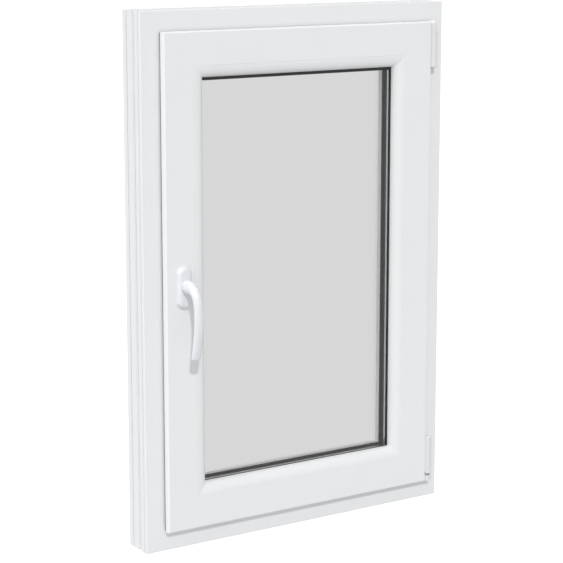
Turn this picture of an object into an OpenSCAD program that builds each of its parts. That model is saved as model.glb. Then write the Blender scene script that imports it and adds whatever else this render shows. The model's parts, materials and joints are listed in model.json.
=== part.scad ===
// Tilt-and-turn casement window: one sash in a fixed frame, hinged on the right, handle on the left.
// X runs right as seen from the room, Y runs through the wall towards outside, Z runs up.
// The origin is the middle of the sill's underside.
// Inside the modules a place is given as u, the distance inwards from the frame's outer edge,
// d, the depth behind the frame's room face, and s, the distance along a side.

/* [Window] */
// Outer width of the frame
win_w = 600; // [500:10:1000]
// Outer height of the frame
win_h = 900; // [800:10:1600]

/* [Glass] */
// Thickness of one pane
pane_t = 4; // [3:1:5]
// Gap between the two panes
pane_gap = 16; // [14:1:17]

/* [Handle] */
// Length of the grip below the spindle
grip_drop = 114; // [100:1:125]
// Width of the grip
grip_w = 16; // [14:1:18]
// Thickness of the grip
grip_t = 11; // [10:1:12]
// Length of the oval rosette
rosette_l = 70; // [66:1:74]
// Width of the oval rosette
rosette_w = 27; // [26:1:30]

/* [Opening] */
// Diameter of the hinge pins
pin_dia = 6; // [5:0.5:6]

/* [Hidden] */

fine = 96;                    // facets of a visible circle
small = 32;                   // facets of a small circle
eps = 0.1;                    // overshoot of a cutter past a face
run = 0.05;                   // radial clearance of a running fit
free = 0.3;                   // clearance between sliding parts
white = "#eef0f1";
steel = "#b8bcc0";
black = "#26282a";

// Fixed by the profiles, whose hardware groove is a standard one
frame_d = 60;                 // depth of the frame, from its room face to its outside face
shoulder_u = 40;              // distance from the frame's outer edge to the shoulder facing the sash
flange_u = 61;                // height of the outside flange that the sash closes against
flange_d = 43;                // depth at which that flange starts
wall = 3;                     // thickness of an outer wall of the profiles
frame_steel_s = 60;           // distance from a corner at which a stiffener of the frame ends
sash_steel_s = 105;           // the same for a stiffener of the sash
sash_margin = 34;             // width of frame left showing round the sash
sash_proud = 16;              // how far the sash face stands in front of the frame face
body_u = 51;                  // distance from the frame's outer edge to the sash body
bead_u = 90;                  // the same to the joint of sash and bead
sight_u = 110;                // the same to the glass that shows
edge_r = 5;                   // radius of the sash's edge along the bead
rod_travel = 30;              // travel of the drive rods over half a turn of the handle
fixing_z = [150, win_h - 150];    // heights of the holes for the screws into the wall
fixing_d = 35;
fixing_r = 3.75;
drain_s = [win_w / 4, 3 * win_w / 4];
sash_d = -sash_proud;         // depth of the sash face
lip_back = -4;                // depth of the back of the sash's overlapping lip
sash_back = 40;               // depth of the outside face of the sash
glass_d = 2;                  // depth of the inner pane's room face
glass_u = 95;                 // distance from the frame's outer edge to the glass edge
glass_back = glass_d + 2 * pane_t + pane_gap;
rebate_d = 29;                // depth of the sash's glazing flange
groove_floor = body_u + 3;    // floor of the hardware groove round the sash
plate_t = 2.5;                // thickness of the faceplates
plate_u = body_u - plate_t;   // face of the faceplates
gear_d = 9;                   // depth of the middle of the hardware groove
rod_t = 2.4;                  // thickness of a drive rod
rod_w = 12;                   // width of a drive rod
cam_tip = 44.5;               // distance from the frame's outer edge to a cam's tip
cam_r = 5;

handle_u = 66;                // the spindle, from the frame's outer edge
handle_z = win_h / 2;
screw_pitch = 43;             // distance between the rosette screws
rosette_screw_r = 2.5;
teeth = 20;
tooth_pitch = 2 * rod_travel / teeth;
gear_r = rod_travel / PI;     // pitch radius: half a turn moves the rods by rod_travel
tooth_h = 0.85;
grip_out = 60;                // distance of the grip's outer side from the sash face
grip_rise = 11;               // height of the grip's top above the spindle
neck_r = 9.5;
cover_h = 9;                  // thickness of the rosette
box_u = handle_u + 17;        // far side of the gearbox

hinge_x = win_w / 2 - 27;     // the upright hinge axis
hinge_d = -9;
tilt_z = 40;                  // height of the axis that the sash tips about
knuckle_r = 6.5;
band_foot = 47.5;             // lowest point of the sash's hinge band
band_top = 117;
stay_foot = win_h - 114;      // lowest point of the top bearing
stay_gap = win_h - 54;        // height of the joint between top bearing and stay band
arm_len = 285;
arm_pivot_x = win_w / 2 - 50;
bearing_screw_z = [60, 98, stay_foot + 12, stay_gap - 12];
bearing_screw_x = hinge_x + 12.2;
band_screw_z = [92, 106];
thin_screw_r = 1.8;
wood_screw_r = 2;
lock_cam_z = [200, win_h - 215];
top_cam_s = 140;
bottom_cam_s = 200;

// ---- places ----
// Turns depth behind the frame's room face into Y
module at_room_face() translate([0, -frame_d / 2, 0]) children();
// The left side: x is u, y is d, z is s
module on_lock_side() translate([-win_w / 2, -frame_d / 2, 0]) children();
module on_hinge_side() mirror([1, 0, 0]) on_lock_side() children();
module on_sill() translate([-win_w / 2, -frame_d / 2, 0]) mirror([1, 0, -1]) children();
module on_head() translate([0, 0, win_h]) mirror([0, 0, 1]) on_sill() children();
module on_all_sides() {
    on_lock_side() children();
    on_hinge_side() children();
    on_sill() children();
    on_head() children();
}
// A cylinder along Y
module rod_y(r, d0, d1, facets = fine)
    translate([0, d1, 0]) rotate([90, 0, 0]) cylinder(r = r, h = d1 - d0, $fn = facets);
// A cylinder along X
module rod_x(r, x0, x1, facets = fine)
    translate([x0, 0, 0]) rotate([0, 90, 0]) cylinder(r = r, h = x1 - x0, $fn = facets);
// A block between two corners
module block(low, high) translate(low) cube(high - low);
// An upright oval slab: two round ends joined by a straight middle
module oval(w, l, d0, d1)
    union() {
        translate([0, 0, l / 2 - w / 2]) rod_y(w / 2, d0, d1);
        translate([0, 0, w / 2 - l / 2]) rod_y(w / 2, d0, d1);
        block([-w / 2, d0, w / 2 - l / 2], [w / 2, d1, l / 2 - w / 2]);
    }
// A rectangular ring parallel to the wall, from u0 to u1 and from d0 to d1
module ring(u0, u1, d0, d1)
    at_room_face() difference() {
        block([u0 - win_w / 2, d0, u0], [win_w / 2 - u0, d1, win_h - u0]);
        block([u1 - win_w / 2, d0 - eps, u1], [win_w / 2 - u1, d1 + eps, win_h - u1]);
    }
// An extruded profile with 45 degree mitres at both ends
module mitred(l, reach)
    intersection() {
        linear_extrude(l) children();
        translate([0, frame_d + 40, 0]) rotate([90, 0, 0]) linear_extrude(2 * frame_d + 40)
            polygon([[0, 0], [reach, reach], [reach, l - reach], [0, l]]);
    }
// A rectangle in the profile plane
module cell(u0, u1, d0, d1) translate([u0, d0]) square([u1 - u0, d1 - d0]);
// Points of a quarter round about a centre
function quarter(cu, cd, r, from) = [for (i = [0:6]) [cu + r * cos(from + 15 * i), cd + r * sin(from + 15 * i)]];

// ---- fixed frame ----
module frame_profile()
    difference() {
        polygon(concat(
            [[0, 5.5], [3, 5.5], [3, 8.5], [0, 8.5], [0, 20], [5, 20], [5, 28], [0, 28],
             [0, 44], [5, 44], [5, 48], [0, 48], [0, frame_d], [flange_u, frame_d],
             [flange_u, flange_d], [53, flange_d], [53, 45.5], [50, 45.5], [50, flange_d],
             [shoulder_u, flange_d]],
            [[shoulder_u, 1], [shoulder_u - 1, 0], [1, 0], [0, 1]]));
        cell(6, 37, 3, 8.5);
        cell(10, 37, 12, 40);
        cell(8, 37, 43, 57);
        cell(40, 58, 47.5, 57);
    }
module frame_bar(l) mitred(l, flange_u) frame_profile();
// Two holes through a jamb for the screws that fix the window to the wall
module jamb_holes()
    for (z = fixing_z) translate([0, fixing_d, z])
        rod_x(fixing_r, -eps, shoulder_u + eps, small);
// The holes that a keeper's two screws leave in the shoulder
module keeper_bites(s)
    for (k = [-1, 1]) translate([0, gear_d, s + k * keeper_screw_s])
        rod_x(wood_screw_r + run, shoulder_u - wall - eps, shoulder_u + eps, small);
module frame_head() color(white) on_head() difference() {
    frame_bar(win_w);
    keeper_bites(top_cam_s + rod_travel / 2);
}
module frame_sill() color(white) on_sill() difference() {
    frame_bar(win_w);
    keeper_bites(bottom_cam_s - rod_travel / 2);
    for (s = drain_s) block([44, frame_d - wall - eps, s - 12], [50, frame_d + eps, s + 12]);
}
module frame_lock_jamb() color(white) on_lock_side() difference() {
    frame_bar(win_h);
    jamb_holes();
    for (z = lock_cam_z) keeper_bites(z + rod_travel / 2);
}
module frame_hinge_jamb() color(white) difference() {
    on_hinge_side() difference() {
        frame_bar(win_h);
        jamb_holes();
    }
    at_room_face() for (z = bearing_screw_z) translate([bearing_screw_x, 0, z])
        rod_y(thin_screw_r + run, -eps, wall + eps, small);
}
// A rectangular steel tube inside a profile, from s0 to s1
module tube(u0, u1, d0, d1, s0, s1)
    translate([0, 0, s0]) linear_extrude(s1 - s0) difference() {
        cell(u0, u1, d0, d1);
        cell(u0 + 1.5, u1 - 1.5, d0 + 1.5, d1 - 1.5);
    }
module frame_tube(l) tube(10, 37, 12, 40, frame_steel_s, l - frame_steel_s);
module frame_steel() color(steel) {
    on_sill() frame_tube(win_w);
    on_head() frame_tube(win_w);
    on_lock_side() difference() {
        frame_tube(win_h);
        jamb_holes();
    }
    on_hinge_side() difference() {
        frame_tube(win_h);
        jamb_holes();
    }
}
module frame_seal() color(black) {
    ring(49.2, 54, 40.4, flange_d);
    ring(50.3, 52.7, flange_d, 45.3);
}
keeper_t = 1.5;               // thickness of a keeper's plate
keeper_half = 32;             // half the length of that plate
rib_half = 25;                // half the length of the ribs on it
rib_top = 3.5;                // height of the ribs above the shoulder
keeper_screw_s = 24;          // distance of a keeper's screws from its middle
// A striker plate with two ribs that the cam runs between
module keeper(s)
    difference() {
        union() {
            block([shoulder_u, 0.5, s - keeper_half], [shoulder_u + keeper_t, 18, s + keeper_half]);
            for (d = [0.5, 15.5]) block([shoulder_u + keeper_t, d, s - rib_half],
                [shoulder_u + rib_top, d + 2.5, s + rib_half]);
        }
        for (k = [-1, 1]) translate([0, gear_d, s + k * keeper_screw_s])
            rod_x(wood_screw_r + run, shoulder_u - eps, shoulder_u + keeper_t + eps, small);
    }
module keepers() color(steel) {
    for (z = lock_cam_z) on_lock_side() keeper(z + rod_travel / 2);
    on_head() keeper(top_cam_s + rod_travel / 2);
    on_sill() keeper(bottom_cam_s - rod_travel / 2);
}
// A screw along X with its head's underside at 0 and its point deeper by l
module screw_x(l, r, head)
    rotate([0, 90, 0]) {
        translate([0, 0, -l]) cylinder(r = r, h = l, $fn = small);
        cylinder(r = head, h = 0.8, $fn = small);
    }
module keeper_screw_pair(s)
    for (k = [-1, 1]) translate([shoulder_u + keeper_t, gear_d, s + k * keeper_screw_s])
        screw_x(keeper_t + wall, wood_screw_r, 3.4);
module keeper_screws() color(steel) {
    for (z = lock_cam_z) on_lock_side() keeper_screw_pair(z + rod_travel / 2);
    on_head() keeper_screw_pair(top_cam_s + rod_travel / 2);
    on_sill() keeper_screw_pair(bottom_cam_s - rod_travel / 2);
}
module drain_caps() color(white)
    for (s = drain_s) on_sill() {
        block([42, frame_d, s - 20], [53, frame_d + 3, s + 20]);
        block([44.3, frame_d - wall + 0.2, s - 11.7], [49.7, frame_d, s + 11.7]);
    }

// ---- hinge side, fixed pieces ----
// A round-fronted block that stands on the frame face at the hinge axis
module bearing_block(r, z0, z1)
    union() {
        translate([hinge_x, hinge_d, z0]) cylinder(r = r, h = z1 - z0, $fn = fine);
        block([hinge_x - r, hinge_d, z0], [hinge_x + r, 0, z1]);
    }
module bearing_flange(z0, z1) block([hinge_x + 7.3, -2.5, z0], [hinge_x + 17, 0, z1]);
bearing_top = 45;
bearing_foot = 33;
bearing_r = 5.5;
module corner_bearing() color(steel) at_room_face() difference() {
    union() {
        bearing_block(bearing_r, bearing_foot, bearing_top);
        block([hinge_x - bearing_r, -2.5, bearing_foot], [hinge_x + 7.3, 0, bearing_top]);
        bearing_flange(bearing_foot, 110);
    }
    translate([0, hinge_d, tilt_z]) rod_x(pin_dia / 2 + run, hinge_x - 6, hinge_x + 6);
    block([hinge_x - 3.3, hinge_d - 6, tilt_z], [hinge_x + 3.3, hinge_d + 3.6, bearing_top + eps]);
    for (z = [bearing_screw_z[0], bearing_screw_z[1]]) translate([bearing_screw_x, 0, z])
        rod_y(thin_screw_r + run, -3, eps, small);
}
// Its rim narrows downwards, which leaves room for the sash when it is open and tipped
cover_rim = 5;
module corner_bearing_cover() color(white) at_room_face() difference() {
    union() {
        translate([hinge_x, hinge_d, bearing_foot])
            cylinder(r1 = knuckle_r - 0.6, r2 = knuckle_r, h = cover_rim, $fn = fine);
        translate([hinge_x, hinge_d, bearing_foot + cover_rim])
            cylinder(r = knuckle_r, h = bearing_top - bearing_foot - cover_rim, $fn = fine);
        block([hinge_x - knuckle_r, hinge_d, bearing_foot], [hinge_x + knuckle_r, 0, bearing_top]);
    }
    bearing_block(bearing_r + run, bearing_foot - eps, bearing_top + eps);
    block([hinge_x, -2.5, bearing_foot - eps], [hinge_x + 8, eps, bearing_top + eps]);
    block([hinge_x - 8, -2.5, bearing_foot - eps], [hinge_x, eps, bearing_top + eps]);
    block([hinge_x - 3.6, hinge_d - 8, tilt_z + 3.5], [hinge_x + 3.6, hinge_d, bearing_top + eps]);
}
module stay_bearing() color(white) at_room_face() difference() {
    union() {
        bearing_block(knuckle_r, stay_foot, stay_gap);
        block([hinge_x, -2.5, stay_foot], [hinge_x + 7.3, 0, stay_gap]);
        bearing_flange(stay_foot, stay_gap);
    }
    translate([hinge_x, hinge_d, stay_foot - eps])
        cylinder(r = pin_dia / 2 + run, h = stay_gap, $fn = fine);
    for (z = [bearing_screw_z[2], bearing_screw_z[3]]) translate([bearing_screw_x, 0, z])
        rod_y(thin_screw_r + run, -3, eps, small);
}
module stay_pin() color(steel) at_room_face() translate([hinge_x, hinge_d, stay_foot]) union() {
    cylinder(r = pin_dia / 2, h = win_h - 38 - stay_foot, $fn = fine);
    translate([0, 0, -2]) cylinder(r = 4.5, h = 2, $fn = fine);
}
// A screw along Y with its head towards the room
module screw_y(l, r, head, head_t)
    union() {
        rod_y(r, 0, l, small);
        rod_y(head, -head_t, 0, small);
    }
module bearing_screws() color(steel) at_room_face()
    for (z = bearing_screw_z) translate([bearing_screw_x, -2.5, z])
        screw_y(2.5 + wall, thin_screw_r, 3, 0.8);

// ---- sash ----
module sash_profile()
    difference() {
        polygon(concat(
            quarter(sash_margin + 3, sash_d + 3, 3, 180),
            quarter(bead_u - edge_r, sash_d + edge_r, edge_r, 270),
            [[bead_u, -6.2], [86.8, -6.2], [86.8, -2.8], [bead_u, -2.8], [bead_u, rebate_d],
             [sight_u - 1, rebate_d], [sight_u, rebate_d + 1], [sight_u, sash_back],
             [body_u, sash_back], [body_u, 17], [groove_floor, 17], [groove_floor, 1],
             [body_u, 1], [body_u, lip_back], [39.5, lip_back], [39.5, -6.3], [36.5, -6.3],
             [36.5, lip_back], [sash_margin, lip_back]]));
        cell(37, 51, -13.5, -8.5);
        cell(53, 84, -13.5, -4);
        cell(57, 84, -1.5, 18);
        cell(54, 87, 20, 38);
        cell(92, 107, 31.5, 37.5);
    }
module sash_bar(l) mitred(l, sight_u) sash_profile();
module sash_top_rail() color(white) on_head() sash_bar(win_w);
module sash_bottom_rail() color(white) on_sill() sash_bar(win_w);
box_foot = handle_z - 56;
box_top = handle_z + 54;
box_front = 0.5;
box_back = 15.5;
module sash_lock_stile() color(white) on_lock_side() difference() {
    sash_bar(win_h);
    block([body_u - eps, box_front, box_foot], [box_u, box_back, box_top]);
    translate([handle_u, 0, handle_z]) rod_y(7, sash_d - eps, box_front + eps);
    for (k = [-1, 1]) translate([handle_u, 0, handle_z + k * screw_pitch / 2])
        rod_y(rosette_screw_r + run, sash_d - eps, box_front + eps, small);
}
module sash_hinge_stile() color(white) difference() {
    on_hinge_side() sash_bar(win_h);
    at_room_face() for (z = band_screw_z) translate([0, hinge_d, z])
        rod_x(thin_screw_r + run, hinge_x - 12, hinge_x, small);
}
module sash_tube(l) tube(54, 87, 20, 38, sash_steel_s, l - sash_steel_s);
module sash_steel() color(steel) {
    on_sill() sash_tube(win_w);
    on_head() sash_tube(win_w);
    on_lock_side() sash_tube(win_h);
    on_hinge_side() sash_tube(win_h);
}
// Glazing bead: a foot that clips into the sash and a face that slopes to the glass
module bead_profile()
    union() {
        polygon(concat([[bead_u, -1], [bead_u, sash_d + edge_r], [bead_u + 0.6, sash_d + 3]],
            [for (a = [90:-10:0]) [sight_u - 18 + 18 * cos(a), -2.5 - 11.5 * sin(a)]],
            [[sight_u, -1]]));
        cell(87, bead_u, -6, -3);
    }
module bead_bar(l) mitred(l, sight_u) bead_profile();
module bead_top() color(white) on_head() bead_bar(win_w);
module bead_bottom() color(white) on_sill() bead_bar(win_w);
module bead_lock_side() color(white) on_lock_side() bead_bar(win_h);
module bead_hinge_side() color(white) on_hinge_side() bead_bar(win_h);
module pane(d0) at_room_face()
    block([glass_u - win_w / 2, d0, glass_u], [win_w / 2 - glass_u, d0 + pane_t, win_h - glass_u]);
module inner_pane() color("#c9d0cf") pane(glass_d);
module outer_pane() color("#c9d0cf") pane(glass_d + pane_t + pane_gap);
module spacer_bar() color(steel) difference() {
    ring(glass_u + 5, glass_u + 12, glass_d + pane_t, glass_d + pane_t + pane_gap);
    ring(glass_u + 5.8, glass_u + 11.2, glass_d + pane_t + 1, glass_d + pane_t + pane_gap - 1);
}
module edge_sealant() color(black)
    ring(glass_u, glass_u + 5, glass_d + pane_t, glass_d + pane_t + pane_gap);
module inner_gasket() color(black) ring(sight_u - 8, sight_u + 0.6, -1, glass_d);
module outer_gasket() color(black) ring(sight_u - 8, sight_u + 0.6, glass_back, rebate_d);
// Packers between the glass edge and the sash, 100 long
module packer(s) block([bead_u, glass_d, s - 50], [glass_u, glass_back, s + 50]);
packer_s = 190;               // distance of the packers of a rail from its ends
packer_z = 220;               // the same for a stile
module setting_blocks() color("#3c6fb0") {
    for (s = [packer_s, win_w - packer_s]) {
        on_sill() packer(s);
        on_head() packer(s);
    }
    for (s = [packer_z, win_h - packer_z]) {
        on_lock_side() packer(s);
        on_hinge_side() packer(s);
    }
}
// Bulb seal on the back of the lip, notched where the stay band passes
module lip_seal() color(black) difference() {
    union() {
        ring(36.7, 39.3, -6.2, lip_back);
        ring(35.6, 40.6, lip_back, -0.7);
    }
    at_room_face() block([win_w / 2 - 42, lip_back - 3, win_h - 50],
        [win_w / 2 - sash_margin, eps, win_h - 41.5]);
}

// ---- hardware in the sash ----
module gearbox_housing() color(steel) on_lock_side() difference() {
    block([groove_floor, box_front, box_foot], [box_u, box_back, box_top]);
    block([groove_floor - eps, 4, box_foot + 4], [box_u - 2, 14, box_top - 4]);
    translate([handle_u, 0, handle_z]) rod_y(6 + run, 0, box_back + eps);
    for (k = [-1, 1]) translate([handle_u, 0, handle_z + k * screw_pitch / 2])
        rod_y(rosette_screw_r + run, 0, 4 + eps, small);
}
// The slot that a cam slides in, from s0 to s1
module cam_slot(s0, s1)
    union() {
        for (s = [s0, s1]) translate([0, gear_d, s]) rod_x(3.2, plate_u - eps, body_u + eps, small);
        block([plate_u - eps, gear_d - 3.2, s0], [body_u + eps, gear_d + 3.2, s1]);
    }
module faceplate(s0, s1) block([plate_u, 0, s0], [body_u, 18, s1]);
module screw_holes(places)
    for (s = places) translate([0, gear_d, s])
        rod_x(thin_screw_r + run, plate_u - eps, body_u + eps, small);
lock_screws = [130, 370, win_h - 370, win_h - 130];
head_screws = [220, 420];
rail_screws = [120, 420];
module lock_faceplate() color(steel) on_lock_side() difference() {
    faceplate(100, win_h - 100);
    for (z = lock_cam_z) cam_slot(z, z + rod_travel);
    screw_holes(lock_screws);
}
module top_faceplate() color(steel) on_head() difference() {
    faceplate(100, 440);
    cam_slot(top_cam_s, top_cam_s + rod_travel);
    screw_holes(head_screws);
}
module bottom_faceplate() color(steel) on_sill() difference() {
    faceplate(100, 440);
    cam_slot(bottom_cam_s - rod_travel, bottom_cam_s);
    screw_holes(rail_screws);
}
// The angle that leads the drive round a corner of the sash
module corner_angle()
    difference() {
        block([plate_u, 0, plate_u], [100, 18, 100]);
        block([body_u, -eps, body_u], [100 + eps, 18 + eps, 100 + eps]);
    }
module top_corner_drive() color(steel) on_head() corner_angle();
module bottom_corner_drive() color(steel) on_sill() corner_angle();
// Short screws whose heads sit on the faceplates; their points stop before the drive rods
module plate_screw(s) translate([plate_u, gear_d, s]) rotate([0, 90, 0]) {
    cylinder(r = thin_screw_r, h = plate_t, $fn = small);
    translate([0, 0, -0.5]) cylinder(r = 3, h = 0.5, $fn = small);
}
module faceplate_screws() color(steel) {
    for (s = lock_screws) on_lock_side() plate_screw(s);
    for (s = head_screws) on_head() plate_screw(s);
    for (s = rail_screws) on_sill() plate_screw(s);
}

// ---- bottom hinge on the sash ----
module hinge_band() color(steel) at_room_face() difference() {
    union() {
        translate([hinge_x, hinge_d, band_foot]) cylinder(r = 5, h = 37, $fn = fine);
        block([hinge_x - 7, hinge_d - 4.5, band_foot + 3], [hinge_x - 3, hinge_d + 4.5, 112]);
    }
    translate([hinge_x, hinge_d, band_foot - eps])
        cylinder(r = pin_dia / 2 + run, h = 34, $fn = fine);
    for (z = band_screw_z) translate([0, hinge_d, z])
        rod_x(thin_screw_r + run, hinge_x - 8, hinge_x - 2, small);
}
module hinge_band_cap() color(white) at_room_face() difference() {
    union() {
        translate([hinge_x, hinge_d, band_foot])
            cylinder(r = knuckle_r, h = band_top - band_foot - 3, $fn = fine);
        translate([hinge_x, hinge_d, band_top - 3])
            cylinder(r1 = knuckle_r, r2 = knuckle_r - 3, h = 3, $fn = fine);
    }
    translate([hinge_x, hinge_d, band_foot - eps]) cylinder(r = 5 + run, h = 66, $fn = fine);
    block([hinge_x - 7, hinge_d - 4.5 - run, band_foot - eps],
        [hinge_x - 3, hinge_d + 4.5 + run, 112 + run]);
}
module band_screws() color(steel) at_room_face()
    for (z = band_screw_z) translate([hinge_x - 3, hinge_d, z]) screw_x(8, thin_screw_r, 3);
module corner_pivot() color(steel) at_room_face() union() {
    translate([0, hinge_d, tilt_z]) rod_x(pin_dia / 2, hinge_x - 4.4, hinge_x + 4.4);
    translate([hinge_x, hinge_d, tilt_z]) cylinder(r = pin_dia / 2, h = 40, $fn = fine);
    translate([hinge_x, hinge_d, band_foot - 1.3]) cylinder(r = 4.8, h = 1.3, $fn = fine);
}

// ---- drive rods ----
module bar_in_groove(s0, s1)
    block([body_u + free, gear_d - rod_w / 2, s0], [body_u + free + rod_t, gear_d + rod_w / 2, s1]);
module cam(s) translate([0, gear_d, s]) union() {
    rod_x(3, cam_tip + 3.5, body_u + free);
    rod_x(cam_r, cam_tip, cam_tip + 3.5);
}
// A tooth that narrows from root to tip, standing along +X from its pitch line
module tooth()
    polygon([[-tooth_h, -0.92], [tooth_h, -0.36], [tooth_h, 0.36], [-tooth_h, 0.92]]);
rack_foot = handle_z - 48;
rack_top = handle_z + 18;
rack_u = handle_u + gear_r;
module lock_rod() color(steel) on_lock_side() union() {
    bar_in_groove(112, rack_foot + 6);
    bar_in_groove(rack_top - 6, win_h - 108);
    block([rack_u + tooth_h, 4.3, rack_foot], [rack_u + tooth_h + 3.6, 13.7, rack_top]);
    for (z = [rack_foot, rack_top - 6])
        block([body_u + free, 4.3, z], [rack_u + tooth_h + 3.6, 13.7, z + 6]);
    translate([0, 13.7, 0]) rotate([90, 0, 0]) linear_extrude(9.4)
        for (i = [-13:3]) translate([rack_u, handle_z + i * tooth_pitch]) mirror([1, 0]) tooth();
}
module lock_cams() color(steel) on_lock_side() for (z = lock_cam_z) cam(z);
module top_rod() color(steel) on_head() bar_in_groove(105, 470);
module top_cam() color(steel) on_head() cam(top_cam_s);
module bottom_rod() color(steel) on_sill() bar_in_groove(105, 470);
module bottom_cam() color(steel) on_sill() cam(bottom_cam_s);

// ---- top stay ----
band_z = win_h - 48.5;        // lowest point of the part of the stay band that enters the frame
arm_z = win_h - 47.7;         // lowest point of the stay arm
module stay_band() color(white) at_room_face() difference() {
    union() {
        translate([hinge_x, hinge_d, stay_gap + free])
            cylinder(r = knuckle_r, h = win_h - 36 - stay_gap - free, $fn = fine);
        translate([hinge_x, hinge_d, win_h - 36])
            cylinder(r1 = knuckle_r, r2 = knuckle_r - 3, h = 3, $fn = fine);
        block([hinge_x - 5, hinge_d, band_z], [hinge_x + 2, -0.9, win_h - 42.9]);
        block([arm_pivot_x - 5.5, -3.3, band_z], [hinge_x + 2, -0.9, win_h - 42.9]);
        block([arm_pivot_x - 5.5, -3.3, win_h - 44.9], [arm_pivot_x + 5.5, 15, win_h - 42.9]);
    }
    translate([hinge_x, hinge_d, stay_gap]) cylinder(r = pin_dia / 2 + run, h = 16.4, $fn = fine);
    translate([arm_pivot_x, gear_d, win_h - 46]) cylinder(r = 2.5, h = 4, $fn = small);
}
module stay_arm() color(steel) at_room_face() difference() {
    union() {
        for (x = [arm_pivot_x, arm_pivot_x - arm_len]) translate([x, gear_d, arm_z])
            cylinder(r = 5, h = 2.4, $fn = fine);
        block([arm_pivot_x - arm_len, gear_d - 5, arm_z], [arm_pivot_x, gear_d + 5, arm_z + 2.4]);
    }
    translate([arm_pivot_x, gear_d, arm_z - eps]) cylinder(r = 2.5 + run, h = 3, $fn = small);
}
module arm_rivet() color(steel) at_room_face() translate([arm_pivot_x, gear_d, arm_z]) union() {
    cylinder(r = 2.5, h = 4.8, $fn = small);
    translate([0, 0, -0.4]) cylinder(r = 4, h = 0.4, $fn = small);
}

// ---- handle ----
// Places a piece drawn about the spindle's axis on the sash face, with y 0 at the face
module at_spindle() translate([handle_u - win_w / 2, sash_d - frame_d / 2, handle_z]) children();
module rosette_base() color(steel) at_spindle() difference() {
    oval(rosette_w - 4.4, rosette_l - 4.4, -3, 0);
    rod_y(6.5, -4, 1);
    for (k = [-1, 1]) translate([0, 0, k * screw_pitch / 2])
        rod_y(rosette_screw_r + run, -4, 1, small);
}
module rosette_cover() color(white) at_spindle() difference() {
    union() {
        oval(rosette_w, rosette_l, 3 - cover_h, 0);
        oval(rosette_w - 2, rosette_l - 2, 1.2 - cover_h, 0);
        oval(rosette_w - 5, rosette_l - 5, -cover_h, 0);
    }
    oval(rosette_w - 4, rosette_l - 4, 2.4 - cover_h, eps);
    rod_y(8 + run, -cover_h - eps, 0);
}
module rosette_screws() color(steel) at_spindle() for (k = [-1, 1])
    translate([0, -3, k * screw_pitch / 2]) screw_y(22.9, rosette_screw_r, 4.4, 2.8);
// Side view of the bowed grip: an arc band cut off above the elbow and below the tip
bow_r = 250;
module grip_side()
    intersection() {
        translate([-grip_out + bow_r, 8 - grip_drop / 2]) difference() {
            circle(bow_r, $fn = 360);
            circle(bow_r - grip_t, $fn = 360);
        }
        translate([-grip_out, -grip_drop]) square([grip_t + 9, grip_drop + grip_rise]);
    }
module handle_lever() color(white) at_spindle() difference() {
    union() {
        rod_y(8, -cover_h - 1, -3.4);
        rod_y(neck_r, 8 - grip_out, -cover_h - 0.3);
        intersection() {
            translate([-grip_w / 2, 0, 0]) rotate([90, 0, 90]) linear_extrude(grip_w) grip_side();
            translate([0, 0, (grip_rise - grip_drop) / 2])
                oval(grip_w, grip_drop + grip_rise, -grip_out - 1, 0);
        }
    }
    block([-3.55, 12 - grip_out, -3.55], [3.55, 0, 3.55]);
}
module handle_spindle() color(steel) at_spindle()
    block([-3.5, 12 - grip_out, -3.5], [3.5, 30.5, 3.5]);
module drive_pinion() color(steel) on_lock_side() translate([handle_u, 0, handle_z]) difference() {
    union() {
        rod_y(6, box_front + 0.1, box_back - 0.1);
        rod_y(gear_r - tooth_h - 0.1, 4.3, 13.7);
        translate([0, 13.7, 0]) rotate([90, 0, 0]) linear_extrude(9.4)
            for (i = [0:teeth - 1]) rotate((i + 0.5) * 360 / teeth)
                translate([gear_r - 0.15, 0]) tooth();
    }
    block([-3.55, -1, -3.55], [3.55, 17, 3.55]);
}

frame_head();
frame_sill();
frame_lock_jamb();
frame_hinge_jamb();
frame_steel();
frame_seal();
keepers();
keeper_screws();
drain_caps();
corner_bearing();
corner_bearing_cover();
stay_bearing();
stay_pin();
bearing_screws();
sash_top_rail();
sash_bottom_rail();
sash_lock_stile();
sash_hinge_stile();
sash_steel();
bead_top();
bead_bottom();
bead_lock_side();
bead_hinge_side();
inner_pane();
outer_pane();
spacer_bar();
edge_sealant();
inner_gasket();
outer_gasket();
setting_blocks();
lip_seal();
gearbox_housing();
lock_faceplate();
top_faceplate();
bottom_faceplate();
top_corner_drive();
bottom_corner_drive();
faceplate_screws();
hinge_band();
hinge_band_cap();
band_screws();
rosette_base();
rosette_cover();
rosette_screws();
corner_pivot();
lock_rod();
lock_cams();
top_rod();
top_cam();
bottom_rod();
bottom_cam();
stay_band();
stay_arm();
arm_rivet();
handle_lever();
handle_spindle();
drive_pinion();
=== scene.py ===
# %% [markdown]
# # A tilt-and-turn casement window
# The window comes in as a finished frame of engineering parts. This lesson gives each visible part
# its real surface: rounded profiles, a flowing handle, soft seals and glass you can look through.
# Parts whose shape is already right keep it and only get a better material.

# %% Load the window and note its box
import json
import math

import bmesh
import bpy
from mathutils import Matrix, Vector


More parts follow.
